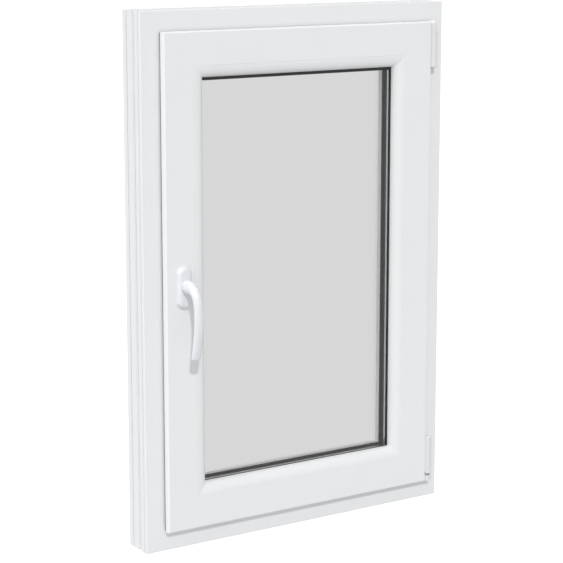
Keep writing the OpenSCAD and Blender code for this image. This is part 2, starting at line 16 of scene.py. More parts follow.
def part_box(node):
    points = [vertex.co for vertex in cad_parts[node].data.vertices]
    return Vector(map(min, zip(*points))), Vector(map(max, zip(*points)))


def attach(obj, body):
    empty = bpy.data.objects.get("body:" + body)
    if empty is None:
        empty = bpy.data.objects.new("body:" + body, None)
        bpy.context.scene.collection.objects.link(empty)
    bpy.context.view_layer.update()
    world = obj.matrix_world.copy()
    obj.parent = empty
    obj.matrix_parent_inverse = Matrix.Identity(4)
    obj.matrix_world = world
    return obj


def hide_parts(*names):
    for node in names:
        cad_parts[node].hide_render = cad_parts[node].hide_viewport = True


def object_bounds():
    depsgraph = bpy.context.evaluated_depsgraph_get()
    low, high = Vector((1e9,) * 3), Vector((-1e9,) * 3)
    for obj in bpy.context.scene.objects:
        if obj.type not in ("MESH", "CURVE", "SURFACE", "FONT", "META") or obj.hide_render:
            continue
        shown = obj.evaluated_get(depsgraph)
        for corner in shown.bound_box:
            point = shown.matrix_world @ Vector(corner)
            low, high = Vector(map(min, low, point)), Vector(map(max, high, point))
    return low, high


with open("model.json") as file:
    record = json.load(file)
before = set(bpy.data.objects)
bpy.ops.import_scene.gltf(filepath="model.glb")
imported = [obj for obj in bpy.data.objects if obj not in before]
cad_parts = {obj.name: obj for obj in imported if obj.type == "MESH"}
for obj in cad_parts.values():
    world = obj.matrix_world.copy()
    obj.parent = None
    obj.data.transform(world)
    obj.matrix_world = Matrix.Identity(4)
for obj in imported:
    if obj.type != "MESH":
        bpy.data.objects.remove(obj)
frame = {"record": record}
cad_box = [list(corner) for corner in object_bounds()]
body_of_node = {n: body for body, nodes in frame["record"]["behaviour"]["bodies"].items() for n in nodes}
print("parts:", len(body_of_node), "box:", cad_box)

# %% [markdown]
# Every profile of the window is drawn once, in millimetres, as it would be on the extruder's drawing:
# u runs inwards from the frame's outer edge and d runs from the room face towards outside.
# A side matrix then stands the finished bar on the left, right, bottom or top. Drawing one section and
# placing it four times keeps the mitres true, where four separate drawings would drift apart.

# %% Sizes and the four sides
MM = 0.001
DEPTH = 60                     # of the fixed frame alone, without the sash, the handle and the drain hoods
WIDTH, HEIGHT = (round((cad_box[1][i] - cad_box[0][i]) / MM) for i in (0, 2))
LEFT, FRONT, TOP = -WIDTH / 2 * MM, -DEPTH / 2 * MM, HEIGHT * MM
SIDES = {
    "lock": Matrix(((MM, 0, 0, LEFT), (0, MM, 0, FRONT), (0, 0, MM, 0), (0, 0, 0, 1))),
    "hinge": Matrix(((-MM, 0, 0, -LEFT), (0, MM, 0, FRONT), (0, 0, MM, 0), (0, 0, 0, 1))),
    "sill": Matrix(((0, 0, MM, LEFT), (0, MM, 0, FRONT), (MM, 0, 0, 0), (0, 0, 0, 1))),
    "head": Matrix(((0, 0, MM, LEFT), (0, MM, 0, FRONT), (-MM, 0, 0, TOP), (0, 0, 0, 1))),
}
LENGTH = {"lock": HEIGHT, "hinge": HEIGHT, "sill": WIDTH, "head": WIDTH}
print("sides:", sorted(SIDES), "size:", WIDTH, DEPTH, HEIGHT)


# %% [markdown]
# A real moulded or extruded edge is never a knife edge. Each corner of a profile carries its own
# radius, and the bevel operator rounds it while the profile is still a flat face, which is cheaper and
# cleaner than bevelling the long bar afterwards.

# %% Helpers: picking geometry, rounding, a profile and a mitred bar
def verts_only(geom):
    return [g for g in geom if isinstance(g, bmesh.types.BMVert)]


def edges_only(geom):
    return [g for g in geom if isinstance(g, bmesh.types.BMEdge)]


def faces_only(geom):
    return [g for g in geom if isinstance(g, bmesh.types.BMFace)]


def rounded(bm, geom, radius, segments, affect="EDGES"):
    """Rounds edges, or the corners of a flat face. The operator's own defaults differ from the editor's."""
    bmesh.ops.bevel(bm, geom=geom, offset=radius, offset_type="OFFSET", affect=affect, segments=segments,
                    profile=0.5, material=-1, clamp_overlap=True)


FINE, SMOOTH = 3, 8            # steps in a rounding below 1 mm, and in a wider one


def profile_face(bm, corners):
    """One flat face from (u, d) or (u, d, radius) corners, with its corners rounded."""
    verts = [bm.verts.new((c[0], c[1], 0)) for c in corners]
    bm.faces.new(verts)
    radii = {}
    for vert, corner in zip(verts, corners):
        if len(corner) > 2:
            radii.setdefault(corner[2], []).append(vert)
    for radius in sorted(radii):
        rounded(bm, radii[radius], radius, FINE if radius < 1 else SMOOTH, "VERTICES")
    return bm.faces[:]


def mitred_bar(corners, length, squeeze=1.0):
    """A bar of that profile along +Z with both ends cut at 45 degrees. squeeze scales d afterwards."""
    spare = 1                  # mm at each end that the mitre cuts take off
    bm = bmesh.new()
    profile_face(bm, corners)
    bmesh.ops.scale(bm, vec=(1, squeeze, 1), verts=bm.verts)
    bmesh.ops.translate(bm, vec=(0, 0, -spare), verts=bm.verts)
    grown = bmesh.ops.extrude_face_region(bm, geom=bm.faces[:])["geom"]
    bmesh.ops.translate(bm, vec=(0, 0, length + 2 * spare), verts=verts_only(grown))
    for plane_co, plane_no in (((0, 0, 0), (1, 0, -1)), ((0, 0, length), (1, 0, 1))):
        cut = bmesh.ops.bisect_plane(bm, geom=bm.verts[:] + bm.edges[:] + bm.faces[:], dist=1e-5,
                                     plane_co=plane_co, plane_no=plane_no, clear_outer=True)["geom_cut"]
        bmesh.ops.edgeloop_fill(bm, edges=edges_only(cut))
    return bm


print("helpers ready; a rounding has", FINE, "or", SMOOTH, "steps")

# %% [markdown]
# The sections are worked in millimetres and the scene is in metres, so a part is scaled as it is placed.
# Every piece then ends the same way: normals outwards, smooth faces with the real creases kept sharp, a
# weighted-normal modifier so that big flats stay flat, and the body that it moves with.

# %% Helpers: joining parts and finishing a piece
def merged(target, source, matrix=None):
    """Adds a bmesh to another one, placed by a matrix, and frees it."""
    if matrix is not None:
        bmesh.ops.transform(source, matrix=matrix, verts=source.verts)
    part = bpy.data.meshes.new("part")
    source.to_mesh(part)
    source.free()
    target.from_mesh(part)
    bpy.data.meshes.remove(part)
    return target


def finished(name, bm, material, body, replaces=(), sharp_deg=32):
    """Turns a bmesh in the window's own metres into a piece that rides on a body."""
    bmesh.ops.recalc_face_normals(bm, faces=bm.faces)
    for face in bm.faces:
        face.smooth = True
    for edge in bm.edges:
        if len(edge.link_faces) == 2 and edge.calc_face_angle(0) > math.radians(sharp_deg):
            edge.smooth = False
    mesh = bpy.data.meshes.new(name)
    bm.to_mesh(mesh)
    bm.free()
    piece = bpy.data.objects.new(name, mesh)
    bpy.context.scene.collection.objects.link(piece)
    mesh.materials.append(material)
    weighted = piece.modifiers.new("even_shading", "WEIGHTED_NORMAL")
    weighted.keep_sharp = True
    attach(piece, body)
    if replaces:
        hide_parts(*replaces)
    print(f"{name}: {len(mesh.polygons)} faces on {body}")
    return piece


def in_metres(bm, place):
    """Takes a part drawn in millimetres round its own middle to its place in the window."""
    bmesh.ops.scale(bm, vec=(MM, MM, MM), verts=bm.verts)
    bmesh.ops.translate(bm, vec=place, verts=bm.verts)
    return bm


# %% [markdown]
# ## Finishes
# The surfaces of this window differ in small things: the fine orange-peel of extruded PVC with its die
# lines, the tighter grain of powder coat, the cloudy bloom of zinc plating, the spangle of galvanised
# steel. Effects that several finishes share are node groups, so that each is built once. A group puts
# out only a height or a mask; the shader stays in the material, where the exporter can read it.

# %% Node helpers
def new_group(name, inputs, outputs):
    group = bpy.data.node_groups.new(name, "ShaderNodeTree")
    for socket, kind, value in inputs:
        made = group.interface.new_socket(socket, in_out="INPUT", socket_type=kind)
        if value is not None:
            made.default_value = value
    for socket, kind in outputs:
        group.interface.new_socket(socket, in_out="OUTPUT", socket_type=kind)
    return group, group.nodes.new("NodeGroupInput"), group.nodes.new("NodeGroupOutput")


def node(tree, kind, links=(), **settings):
    """Adds a node, sets plain attributes or input values, and links (input, source socket) pairs."""
    made = tree.nodes.new(kind)
    for key, value in settings.items():
        if hasattr(made, key):
            setattr(made, key, value)
        else:
            made.inputs[key.replace("_", " ")].default_value = value
    for socket, source in links:
        tree.links.new(source, made.inputs[socket])
    return made


def maths(tree, operation, a, b=None):
    made = tree.nodes.new("ShaderNodeMath")
    made.operation = operation
    for socket, value in zip(made.inputs, (a, b)):
        if isinstance(value, (int, float)):
            socket.default_value = value
        elif value is not None:
            tree.links.new(value, socket)
    return made.outputs[0]


print("node helpers ready")

# %% [markdown]
# Grain and drawn lines are both noise. Grain has the same scale in every direction. Lines are the same
# noise with one axis squashed, which stretches it along the bar, as a die or a brush would.

# %% Shared effects: grain and drawn lines
def grain_group():
    """Fine pebbled height, for plastic, powder coat and rubber."""
    group, given, out = new_group("fine_grain", [("Vector", "NodeSocketVector", None),
                                                 ("Size mm", "NodeSocketFloat", 0.5)],
                                  [("Height", "NodeSocketFloat")])
    scale = maths(group, "DIVIDE", 1000.0, given.outputs["Size mm"])
    noise = node(group, "ShaderNodeTexNoise", [("Vector", given.outputs["Vector"]), ("Scale", scale)],
                 Detail=3.0, Roughness=0.55)
    group.links.new(noise.outputs["Fac"], out.inputs["Height"])
    return group


def lines_group():
    """Long fine lines, as a die or a brush leaves them, stretched along the axis that Squash shrinks."""
    group, given, out = new_group("drawn_lines", [("Vector", "NodeSocketVector", None),
                                                  ("Squash", "NodeSocketVector", (1, 1, 1)),
                                                  ("Size mm", "NodeSocketFloat", 0.6)],
                                  [("Height", "NodeSocketFloat")])
    squashed = node(group, "ShaderNodeVectorMath",
                    [(0, given.outputs["Vector"]), (1, given.outputs["Squash"])], operation="MULTIPLY")
    scale = maths(group, "DIVIDE", 1000.0, given.outputs["Size mm"])
    noise = node(group, "ShaderNodeTexNoise", [("Vector", squashed.outputs[0]), ("Scale", scale)],
                 Detail=4.0, Roughness=0.6)
    group.links.new(noise.outputs["Fac"], out.inputs["Height"])
    return group


GRAIN, LINES = grain_group(), lines_group()
print("groups:", GRAIN.name, LINES.name)

# %% [markdown]
# A slow cloud drifts a colour or a gloss, because no real surface is even. Dust needs to know which way
# a face looks, so it reads the normal and settles only where that points up.

# %% Shared effects: clouds and settled dust
def cloud_group():
    """A slow mottle between 0 and 1, for uneven plating and slight colour drift."""
    group, given, out = new_group("slow_cloud", [("Vector", "NodeSocketVector", None),
                                                 ("Size mm", "NodeSocketFloat", 20.0)],
                                  [("Mask", "NodeSocketFloat")])
    scale = maths(group, "DIVIDE", 1000.0, given.outputs["Size mm"])
    noise = node(group, "ShaderNodeTexNoise", [("Vector", given.outputs["Vector"]), ("Scale", scale)],
                 Detail=5.0, Roughness=0.6, Distortion=0.3)
    ramp = node(group, "ShaderNodeMapRange", [("Value", noise.outputs["Fac"])])
    ramp.inputs["From Min"].default_value, ramp.inputs["From Max"].default_value = 0.3, 0.7
    group.links.new(ramp.outputs["Result"], out.inputs["Mask"])
    return group


def dust_group():
    """A mask of light dust that settles on faces that look up, broken up by noise."""
    group, given, out = new_group("settled_dust", [("Vector", "NodeSocketVector", None),
                                                   ("Normal", "NodeSocketVector", None)],
                                  [("Mask", "NodeSocketFloat")])
    axes = node(group, "ShaderNodeSeparateXYZ", [("Vector", given.outputs["Normal"])])
    up = node(group, "ShaderNodeMapRange", [("Value", axes.outputs["Z"])])
    up.inputs["From Min"].default_value, up.inputs["From Max"].default_value = 0.55, 1.0
    noise = node(group, "ShaderNodeTexNoise", [("Vector", given.outputs["Vector"])], Scale=260.0, Detail=6.0)
    group.links.new(maths(group, "MULTIPLY", up.outputs["Result"], noise.outputs["Fac"]), out.inputs["Mask"])
    return group


CLOUD, DUST = cloud_group(), dust_group()
print("groups:", CLOUD.name, DUST.name)

# %% [markdown]
# Every finish starts alike: a Principled shader whose constants sit on its own sockets, and Object
# coordinates, which stay with a piece however the window moves. A mask then drives what varies.

# %% A material builder that every finish starts from
def placed(tree, group, links=(), **values):
    made = tree.nodes.new("ShaderNodeGroup")
    made.node_tree = group
    for key, value in values.items():
        made.inputs[key.replace("_", " ")].default_value = value
    for socket, source in links:
        tree.links.new(source, made.inputs[socket])
    return made


def new_material(name, **shader):
    """An empty material with a Principled shader; constants sit on the shader's own sockets."""
    material = bpy.data.materials.new(name)
    material.use_nodes = True
    tree = material.node_tree
    surface = tree.nodes["Principled BSDF"]
    for key, value in shader.items():
        surface.inputs[key.replace("_", " ")].default_value = value
    place = tree.nodes.new("ShaderNodeTexCoord").outputs["Object"]
    return material, tree, surface, place


def bumped(tree, surface, height, depth_mm, strength=1.0):
    bump = node(tree, "ShaderNodeBump", [("Height", height)])
    bump.inputs["Strength"].default_value = strength
    bump.inputs["Distance"].default_value = depth_mm * MM
    tree.links.new(bump.outputs["Normal"], surface.inputs["Normal"])


COLOUR_A, COLOUR_B, COLOUR_RESULT = 6, 7, 2      # the Mix node's colour sockets; its others share their names


def between(tree, mask, low, high, socket):
    """A colour or number that moves from low to high with the mask, into a shader socket."""
    if isinstance(low, tuple):
        mix = node(tree, "ShaderNodeMix", [("Factor", mask)], data_type="RGBA")
        mix.inputs[COLOUR_A].default_value, mix.inputs[COLOUR_B].default_value = (*low, 1), (*high, 1)
        tree.links.new(mix.outputs[COLOUR_RESULT], socket)
    else:
        span = node(tree, "ShaderNodeMapRange", [("Value", mask)])
        span.inputs["To Min"].default_value, span.inputs["To Max"].default_value = low, high
        tree.links.new(span.outputs["Result"], socket)


print("colour sockets of Mix:", COLOUR_A, COLOUR_B, COLOUR_RESULT)

# %% [markdown]
# The white bars are drawn through a die, so faint lines run along them. Upright and level bars need the
# lines in different directions, so the finish is made twice from one function.

# %% White PVC, upright and level
def pvc(name, squash, base, drift):
    """Extruded PVC: satin white with die lines along the bar and a faint orange peel."""
    material, tree, surface, place = new_material(name, IOR=1.53, Coat_Weight=0.0, Specular_IOR_Level=0.45)
    cloud = placed(tree, CLOUD, [("Vector", place)], Size_mm=70.0)
    normal = tree.nodes.new("ShaderNodeNewGeometry").outputs["Normal"]
    dust = placed(tree, DUST, [("Vector", place), ("Normal", normal)])
    between(tree, maths(tree, "MAXIMUM", cloud.outputs["Mask"], dust.outputs["Mask"]), base, drift,
            surface.inputs["Base Color"])
    between(tree, cloud.outputs["Mask"], 0.30, 0.38, surface.inputs["Roughness"])
    lines = placed(tree, LINES, [("Vector", place)], Squash=squash, Size_mm=1.3)
    grain = placed(tree, GRAIN, [("Vector", place)], Size_mm=0.7)
    bumped(tree, surface, maths(tree, "ADD", lines.outputs["Height"],
                                maths(tree, "MULTIPLY", grain.outputs["Height"], 0.35)), 0.012)
    return material


PVC_BASE, PVC_DRIFT = (0.845, 0.855, 0.868), (0.834, 0.843, 0.850)
pvc_upright = pvc("pvc_upright", (1, 1, 0.01), PVC_BASE, PVC_DRIFT)
pvc_level = pvc("pvc_level", (0.01, 1, 1), PVC_BASE, PVC_DRIFT)
print("made", pvc_upright.name, pvc_level.name)

# %% [markdown]
# The handle is powder coated metal and the hinge covers are moulded plastic. Both are white, but the coat
# is a little glossier and has the wider grain.

# %% Powder coat and moulded white
def powder_coat():
    material, tree, surface, place = new_material("handle_coat", IOR=1.5, Coat_Weight=0.1, Coat_Roughness=0.2)
    cloud = placed(tree, CLOUD, [("Vector", place)], Size_mm=18.0)
    between(tree, cloud.outputs["Mask"], (0.79, 0.80, 0.83), (0.78, 0.79, 0.82), surface.inputs["Base Color"])
    between(tree, cloud.outputs["Mask"], 0.24, 0.30, surface.inputs["Roughness"])
    bumped(tree, surface, placed(tree, GRAIN, [("Vector", place)], Size_mm=0.9).outputs["Height"], 0.010)
    return material


def moulded_white():
    material, tree, surface, place = new_material("moulded_white", IOR=1.5)
    cloud = placed(tree, CLOUD, [("Vector", place)], Size_mm=25.0)
    between(tree, cloud.outputs["Mask"], (0.79, 0.80, 0.81), (0.775, 0.783, 0.79),
            surface.inputs["Base Color"])
    between(tree, cloud.outputs["Mask"], 0.34, 0.42, surface.inputs["Roughness"])
    bumped(tree, surface, placed(tree, GRAIN, [("Vector", place)], Size_mm=0.25).outputs["Height"], 0.006)
    return material


handle_coat, cap_white = powder_coat(), moulded_white()
print("made", handle_coat.name, cap_white.name)

# %% [markdown]
# Hardware is zinc plated and brushed; the stiffeners are hot-dip galvanised, which freezes into flat
# crystals. Voronoi cells give each crystal its own grey and gloss.

# %% Zinc plate and galvanised steel
def zinc(name, squash, base, bloom):
    """Bright zinc plate: brushed below, with a cloudy bloom and a slight warm or blue cast."""
    material, tree, surface, place = new_material(name, Metallic=1.0)
    cloud = placed(tree, CLOUD, [("Vector", place)], Size_mm=9.0)
    lines = placed(tree, LINES, [("Vector", place)], Squash=squash, Size_mm=0.35)
    between(tree, cloud.outputs["Mask"], base, bloom, surface.inputs["Base Color"])
    rough = maths(tree, "MULTIPLY", cloud.outputs["Mask"], lines.outputs["Height"])
    between(tree, rough, 0.26, 0.46, surface.inputs["Roughness"])
    bumped(tree, surface, lines.outputs["Height"], 0.010)
    return material


def galvanised_steel():
    material, tree, surface, place = new_material("galvanised_steel", Metallic=1.0)
    cells = node(tree, "ShaderNodeTexVoronoi", [("Vector", place)], Scale=120.0)
    value = node(tree, "ShaderNodeSeparateColor", [("Color", cells.outputs["Color"])])
    between(tree, value.outputs["Red"], (0.46, 0.48, 0.49), (0.62, 0.64, 0.65), surface.inputs["Base Color"])
    between(tree, value.outputs["Green"], 0.32, 0.52, surface.inputs["Roughness"])
    bumped(tree, surface, cells.outputs["Distance"], 0.02, 0.4)
    return material


zinc_upright = zinc("zinc_upright", (1, 1, 0.02), (0.64, 0.65, 0.66), (0.56, 0.57, 0.60))
zinc_level = zinc("zinc_level", (0.02, 1, 1), (0.64, 0.65, 0.66), (0.56, 0.57, 0.60))
galvanised = galvanised_steel()
print("made", zinc_upright.name, zinc_level.name, galvanised.name)

# %% [markdown]
# Seals, sealant and the spacer's composite are black and nearly matt, and differ only in how grey and how
# rough they are. Blue setting blocks carry the panes and are plain moulded plastic.

# %% Black elastomers and the setting blocks
def rubber(name, base, bloom, low, high):
    """Black elastomer; low and high are the ends of its roughness."""
    material, tree, surface, place = new_material(name, IOR=1.52, Specular_IOR_Level=0.35)
    cloud = placed(tree, CLOUD, [("Vector", place)], Size_mm=12.0)
    between(tree, cloud.outputs["Mask"], base, bloom, surface.inputs["Base Color"])
    between(tree, cloud.outputs["Mask"], low, high, surface.inputs["Roughness"])
    bumped(tree, surface, placed(tree, GRAIN, [("Vector", place)], Size_mm=0.3).outputs["Height"], 0.02)
    return material


def packer_plastic():
    material, tree, surface, place = new_material("packer_plastic", IOR=1.5)
    cloud = placed(tree, CLOUD, [("Vector", place)], Size_mm=15.0)
    between(tree, cloud.outputs["Mask"], (0.10, 0.22, 0.46), (0.12, 0.25, 0.50), surface.inputs["Base Color"])
    between(tree, cloud.outputs["Mask"], 0.42, 0.55, surface.inputs["Roughness"])
    bumped(tree, surface, placed(tree, GRAIN, [("Vector", place)], Size_mm=0.4).outputs["Height"], 0.02)
    return material


seal_rubber = rubber("seal_rubber", (0.030, 0.031, 0.033), (0.042, 0.043, 0.045), 0.45, 0.62)
edge_sealant = rubber("butyl_sealant", (0.026, 0.026, 0.027), (0.034, 0.034, 0.035), 0.35, 0.5)
spacer_black = rubber("spacer_composite", (0.030, 0.031, 0.031), (0.038, 0.039, 0.039), 0.38, 0.5)
packer_blue = packer_plastic()
print("made", seal_rubber.name, edge_sealant.name, spacer_black.name, packer_blue.name)

# %% [markdown]
# Glass is the one finish where almost nothing varies: full transmission, no roughness, and a wave so slow
# that only a reflection shows it. The spacer's bright line is aluminium with fine holes.

# %% Spacer metal and float glass
def spacer_metal():
    """Bright aluminium with fine perforations that let the drying beads breathe."""
    material, tree, surface, place = new_material("spacer_metal", Metallic=1.0)
    dots = node(tree, "ShaderNodeTexVoronoi", [("Vector", place)], Scale=400.0)
    hole = maths(tree, "LESS_THAN", dots.outputs["Distance"], 0.18)
    between(tree, hole, (0.80, 0.81, 0.82), (0.30, 0.30, 0.30), surface.inputs["Base Color"])
    lines = placed(tree, LINES, [("Vector", place)], Squash=(0.05, 1, 0.05), Size_mm=0.4)
    between(tree, lines.outputs["Height"], 0.34, 0.5, surface.inputs["Roughness"])
    bumped(tree, surface, maths(tree, "SUBTRACT", lines.outputs["Height"], hole), 0.01)
    return material


def float_glass():
    """Clear float glass: plain metallic and transmission, with a very slow roller wave."""
    material, tree, surface, place = new_material("float_glass", Metallic=0.0, Roughness=0.0, IOR=1.5,
                                                  Transmission_Weight=1.0)
    cloud = placed(tree, CLOUD, [("Vector", place)], Size_mm=400.0)
    between(tree, cloud.outputs["Mask"], (0.986, 0.988, 0.985), (0.982, 0.984, 0.981),
            surface.inputs["Base Color"])
    wave = placed(tree, GRAIN, [("Vector", place)], Size_mm=180.0)
    bumped(tree, surface, wave.outputs["Height"], 0.02, 0.2)
    return material


spacer_bare, glass = spacer_metal(), float_glass()
print("made", spacer_bare.name, glass.name, "of", len(bpy.data.materials), "materials")

# %% [markdown]
# ## The fixed frame
# A PVC frame is one hollow section, cut at 45 degrees and welded at the corners. Its outer edge has
# grooves for fixing lugs and foam, and on the room side a shallow lip faces the sash. The chambers
# never show, so the bar is drawn solid; what shows is the outline, the rounded edges and the welds.

# %% Frame bars
FRAME_PROFILE = [
    (0, 5.5, 0.3), (3, 5.5), (3, 8.5), (0, 8.5, 0.3), (0, 20, 0.3), (5, 20), (5, 28), (0, 28, 0.3),
    (0, 44, 0.3), (5, 44), (5, 48), (0, 48, 0.3), (0, 60, 1.2), (61, 60, 1.2), (61, 43, 1.2),
    (53, 43, 0.3), (53, 45.5), (50, 45.5), (50, 43, 0.3), (40, 43), (40, 0, 1.3), (0, 0, 1.5)]
FRAME_NODES = {"lock": "frame_lock_jamb", "hinge": "frame_hinge_jamb", "sill": "frame_sill",
               "head": "frame_head"}
PVC = {"lock": pvc_upright, "hinge": pvc_upright, "sill": pvc_level, "head": pvc_level}


def four_bars(nodes, profile, body, suffix, squeeze=1.0):
    """One bar on each side, each standing for its own engineering part."""
    for side, cad in nodes.items():
        bar = mitred_bar(profile, LENGTH[side], squeeze)
        bmesh.ops.transform(bar, matrix=SIDES[side], verts=bar.verts)
        finished(cad + suffix, bar, PVC[side], body, [cad])


four_bars(FRAME_NODES, FRAME_PROFILE, "frame", "_profile")

# %% [markdown]
# ## The sash
# The sash section overlaps the frame with a lip, and its outer edge is broken so that nobody bruises a
# knuckle on it. Towards the glass it meets the glazing bead in a fine joint, which comes from two small
# roundings that touch.

# %% Sash bars
SASH_PROFILE = [
    (34, -14.2, 0.5), (35.8, -16, 0.6), (90, -16, 0.6), (90, -6.2), (86.8, -6.2), (86.8, -2.8), (90, -2.8),
    (90, 29), (110, 29, 0.9), (110, 40, 1.2), (51, 40, 1.2), (51, 17), (54, 17), (54, 1), (51, 1), (51, -4),
    (39.5, -4), (39.5, -6.3), (36.5, -6.3), (36.5, -4), (34, -4, 0.8)]
SASH_NODES = {"lock": "sash_lock_stile", "hinge": "sash_hinge_stile", "sill": "sash_bottom_rail",
              "head": "sash_top_rail"}
four_bars(SASH_NODES, SASH_PROFILE, "sash", "_profile")

# %% [markdown]
# ## Glazing beads
# A bead is a long plastic moulding that snaps in front of the glass. Its face falls to the glass in
# one soft curve, wider than it is deep. An elliptical rounding isn't something the bevel makes, so the
# section is drawn stretched in depth, rounded as a circle and squeezed back.

# %% Bead bars
BEAD_FALL, BEAD_WIDTH = 13.4, 19     # of the curve: how deep it falls over how wide it is
BEAD_SQUEEZE = BEAD_FALL / BEAD_WIDTH
BEAD_PROFILE = [(u, d / BEAD_SQUEEZE, *r) for u, d, *r in
                [(90, -1), (90, -15.9, 0.6), (110, -15.9, BEAD_WIDTH), (110, -1, 0.4)]]
BEAD_NODES = {"lock": "bead_lock_side", "hinge": "bead_hinge_side", "sill": "bead_bottom", "head": "bead_top"}
four_bars(BEAD_NODES, BEAD_PROFILE, "sash", "_moulding", BEAD_SQUEEZE)

# %% [markdown]
# ## Seals, spacer and glass
# Four mitred lengths of one section make a ring. The lip seal has a bulb that the frame presses on, the
# glazing gaskets show only a thin rounded lip, deeper along the head. Between the panes runs a black
# spacer with one thin bright line along it.

# %% Rings of one section
def ring_piece(name, corners, material, body, cad, at_head=None):
    whole = bmesh.new()
    for side in SIDES:
        section = at_head if at_head and side == "head" else corners
        merged(whole, mitred_bar(section, LENGTH[side]), SIDES[side])
    return finished(name, whole, material, body, [cad])


ring_piece("frame_seal_strip",
           [(49.4, 40.5, 0.9), (53.8, 40.5, 0.9), (53.8, 43, 0.3), (52.6, 43), (52.6, 45.2, 0.4),
            (50.4, 45.2, 0.4), (50.4, 43), (49.4, 43, 0.3)], seal_rubber, "frame", "frame_seal")
ring_piece("inner_gasket_strip", [(102, -0.98), (110.5, -0.98, 0.7), (110.5, 1.98, 0.7), (102, 1.98)],
           seal_rubber, "sash", "inner_gasket",
           at_head=[(102, -0.98), (114, -0.98, 0.7), (115.6, 1.2, 0.3), (115.6, 1.98), (102, 1.98)])
ring_piece("outer_gasket_strip", [(102, 26.02), (110.5, 26.02, 0.7), (110.5, 28.98, 0.7), (102, 28.98)],
           seal_rubber, "sash", "outer_gasket")
ring_piece("spacer_frame", [(100, 6.05), (107, 6.05, 0.7), (107, 21.95, 0.7), (100, 21.95)],
           spacer_black, "sash", "spacer_bar")
SPACER_LINE = [(106.5, 11), (108, 11, 0.4), (108, 15, 0.4), (106.5, 15)]
spacer_line = bmesh.new()
for side in SIDES:
    merged(spacer_line, mitred_bar(SPACER_LINE, LENGTH[side]), SIDES[side])
finished("spacer_bright_edge", spacer_line, spacer_bare, "sash")
ring_piece("edge_sealant_bead", [(95.1, 6.03, 0.5), (99.95, 6.03), (99.95, 21.97), (95.1, 21.97, 0.5)],
           edge_sealant, "sash", "edge_sealant")
SEAL_BACK = [(36.8, -3.95), (36.8, -6.1, 0.4), (39.2, -6.1, 0.4), (39.2, -4), (40.5, -4, 0.3),
             (40.5, -0.8, 1.4)]
ring_piece("lip_seal_bulb", [*SEAL_BACK, (34.9, -0.8, 1.0), (34.9, -3.95, 0.3)],
           seal_rubber, "sash", "lip_seal",
           at_head=[*SEAL_BACK, (36.4, -0.8, 1.0), (36.4, -3.95, 0.3)])

# %% [markdown]
# Each pane is a plain sheet, but its cut edges are ground so that they don't chip or cut. The beads hide
# them in the finished sash; a narrow flat on every edge is enough to make the sheet right on its own.

# %% Panes with ground edges
GROUND = 0.5
for pane in ("inner_pane", "outer_pane"):
    low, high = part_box(pane)
    sheet = bmesh.new()
    bmesh.ops.create_cube(sheet, size=1)
    bmesh.ops.scale(sheet, vec=high - low, verts=sheet.verts)
    bmesh.ops.translate(sheet, vec=(low + high) / 2, verts=sheet.verts)
    bmesh.ops.bevel(sheet, geom=sheet.edges[:], offset=GROUND * MM, offset_type="OFFSET", affect="EDGES",
                    segments=1, profile=0.5, material=-1)
    finished(pane + "_sheet", sheet, glass, "sash", [pane], sharp_deg=20)

# %% [markdown]
# ## The handle
# A die-cast lever flows out of its oval rosette, turns down in one soft elbow and bows away from the
# sash so that fingers fit behind it. A row of ovals is extruded one from the next along the middle line,
# each tilted square to it, and a subdivision surface runs the skin through them. A bevelled tube would
# keep one thickness, where the real neck is thick and the grip is flat.

# %% Lever
SPINDLE_IN, SASH_FACE = 66, -16     # from the frame's outer edge, and from its room face
SPINDLE = ((SPINDLE_IN - WIDTH / 2) * MM, (SASH_FACE - DEPTH / 2) * MM, HEIGHT / 2 * MM)
# distance out from the sash face, height above the spindle, half width, half thickness
LEVER_LINE = [(3.5, 0, 7.7, 7.7), (8.2, 0, 7.7, 7.7), (8.9, 0, 7.8, 7.8), (9.5, 2.2, 9.3, 11.4),
              (14, 2.9, 9.5, 12.0), (20, 3.2, 9.5, 11.7), (26, 2.9, 9.4, 10.8), (32.5, 1.4, 9.2, 9.6),
              (38.6, -1.8, 9.0, 8.7), (43.6, -7, 8.8, 7.7), (47, -14, 8.7, 6.9), (49.2, -22.5, 8.6, 6.3),
              (50.3, -33, 8.6, 6.1), (50.6, -45, 8.6, 6.0), (49.9, -58, 8.6, 6.0), (48.3, -71, 8.6, 6.0),
              (46.0, -84, 8.6, 5.9), (43.0, -98, 8.6, 5.8), (39.8, -109.5, 8.5, 5.6),
              (39.0, -112.2, 8.0, 5.2)]
TIP_INSET, TIP_CROWN = 1.6, 0.35


